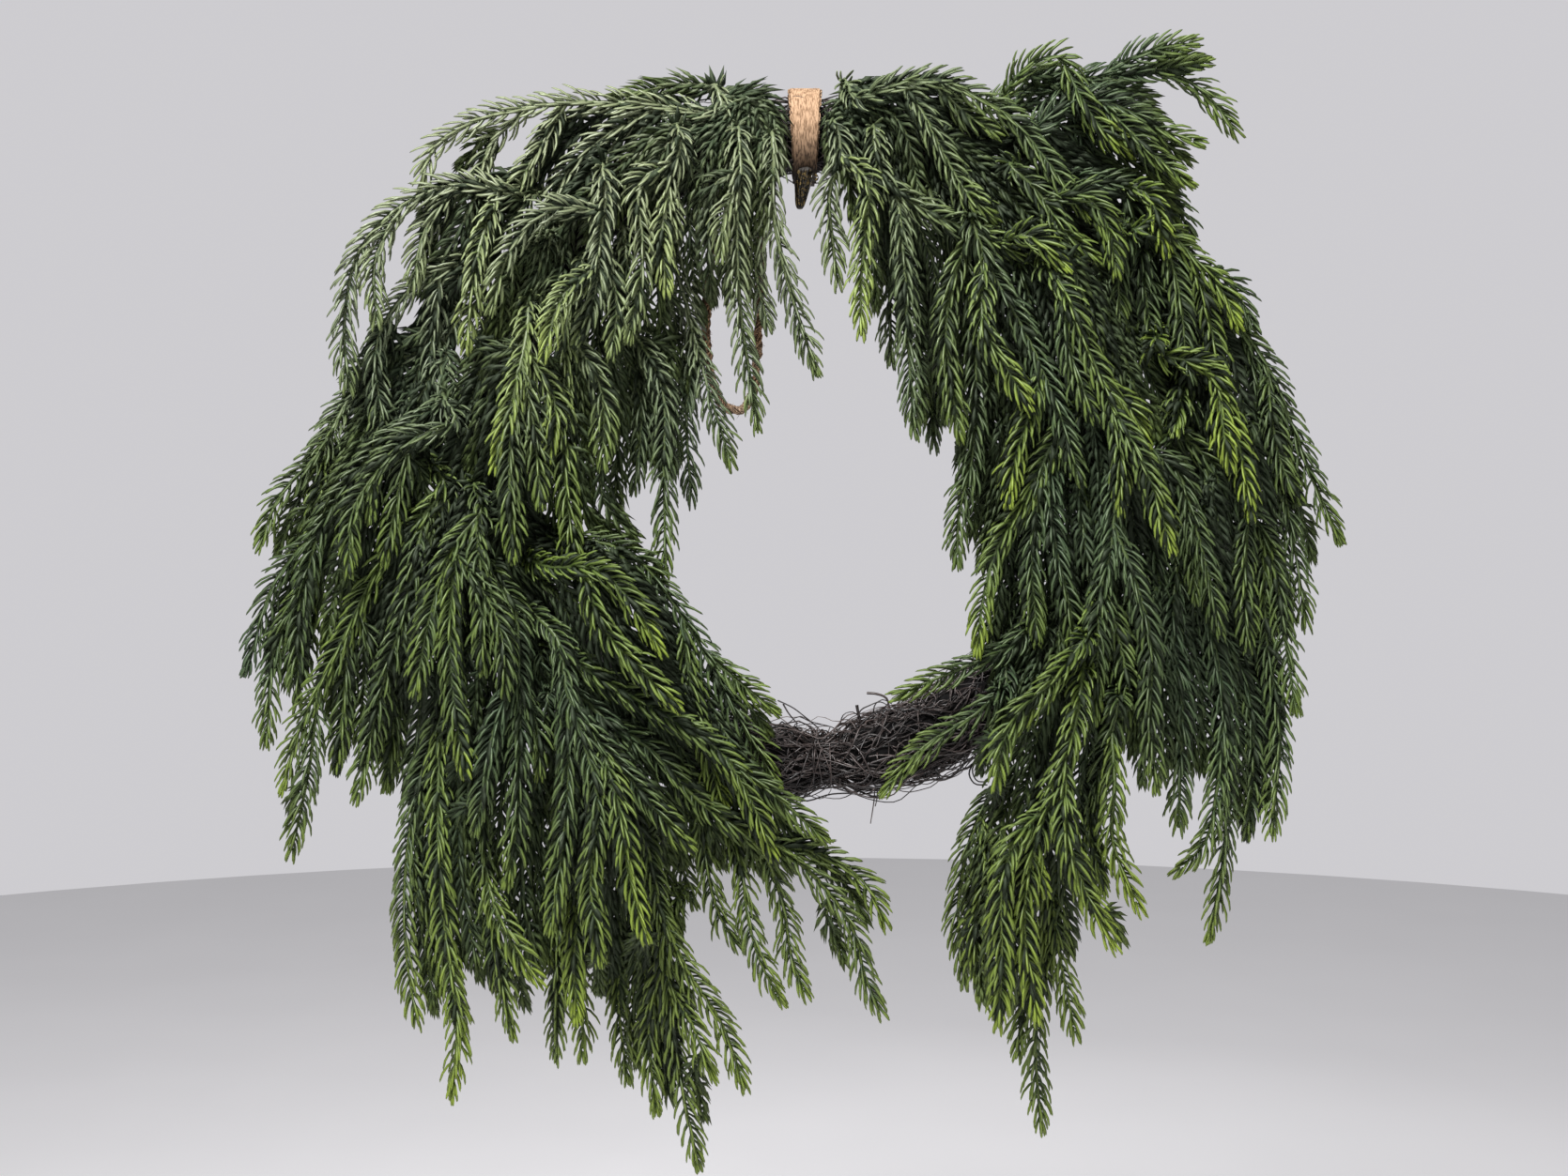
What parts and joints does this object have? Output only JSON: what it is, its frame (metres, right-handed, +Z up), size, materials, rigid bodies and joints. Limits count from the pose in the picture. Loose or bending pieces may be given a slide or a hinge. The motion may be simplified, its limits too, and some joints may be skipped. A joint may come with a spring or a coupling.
{
  "type": "wreath",
  "caption": "Round artificial pine wreath of drooping needled sprays on a ring of wound vines, with a jute band at the top to hang it by.",
  "frame": {"origin": "where the wreath hangs: on the wall, at the top of the jute band", "axes": "+X to the right as seen from the front, +Y into the wall, +Z up; the wall is the plane y = 0"},
  "size_m": [0.612, 0.1188, 0.6163],
  "materials": {
    "vine": "dark, fibrous and matt",
    "jute": "coarse natural fibre, matt",
    "bronze_brown": "glossy bronze-brown",
    "needles": "satin green, yellower at the tips"
  },
  "bodies": {
    "root": {"vine_ring": "vine", "jute_band": "jute", "fluted_end": "bronze_brown", "spare_loop": "jute", "spray_l01": "needles", "spray_l02": "needles", "spray_l03": "needles", "spray_l04": "needles", "spray_l05": "needles", "spray_l06": "needles", "spray_l07": "needles", "spray_l08": "needles", "spray_l09": "needles", "spray_l10": "needles", "spray_l11": "needles", "spray_l12": "needles", "spray_l13": "needles", "spray_l14": "needles", "spray_l15": "needles", "spray_l16": "needles", "spray_l17": "needles", "spray_l18": "needles", "spray_l19": "needles", "spray_l20": "needles", "spray_l21": "needles", "spray_l22": "needles", "spray_l23": "needles", "spray_l24": "needles", "spray_l25": "needles", "spray_l26": "needles", "spray_l27": "needles", "spray_r01": "needles", "spray_r02": "needles", "spray_r03": "needles", "spray_r04": "needles", "spray_r05": "needles", "spray_r06": "needles", "spray_r07": "needles", "spray_r08": "needles", "spray_r09": "needles", "spray_r10": "needles", "spray_r11": "needles", "spray_r12": "needles", "spray_r13": "needles", "spray_r14": "needles", "spray_r15": "needles", "spray_r16": "needles", "spray_r17": "needles", "spray_r18": "needles", "spray_r19": "needles", "spray_r20": "needles", "spray_r21": "needles", "spray_r22": "needles", "spray_r23": "needles", "spray_r24": "needles", "spray_r25": "needles", "spray_r26": "needles", "spray_r27": "needles"}
  },
  "joints": []
}
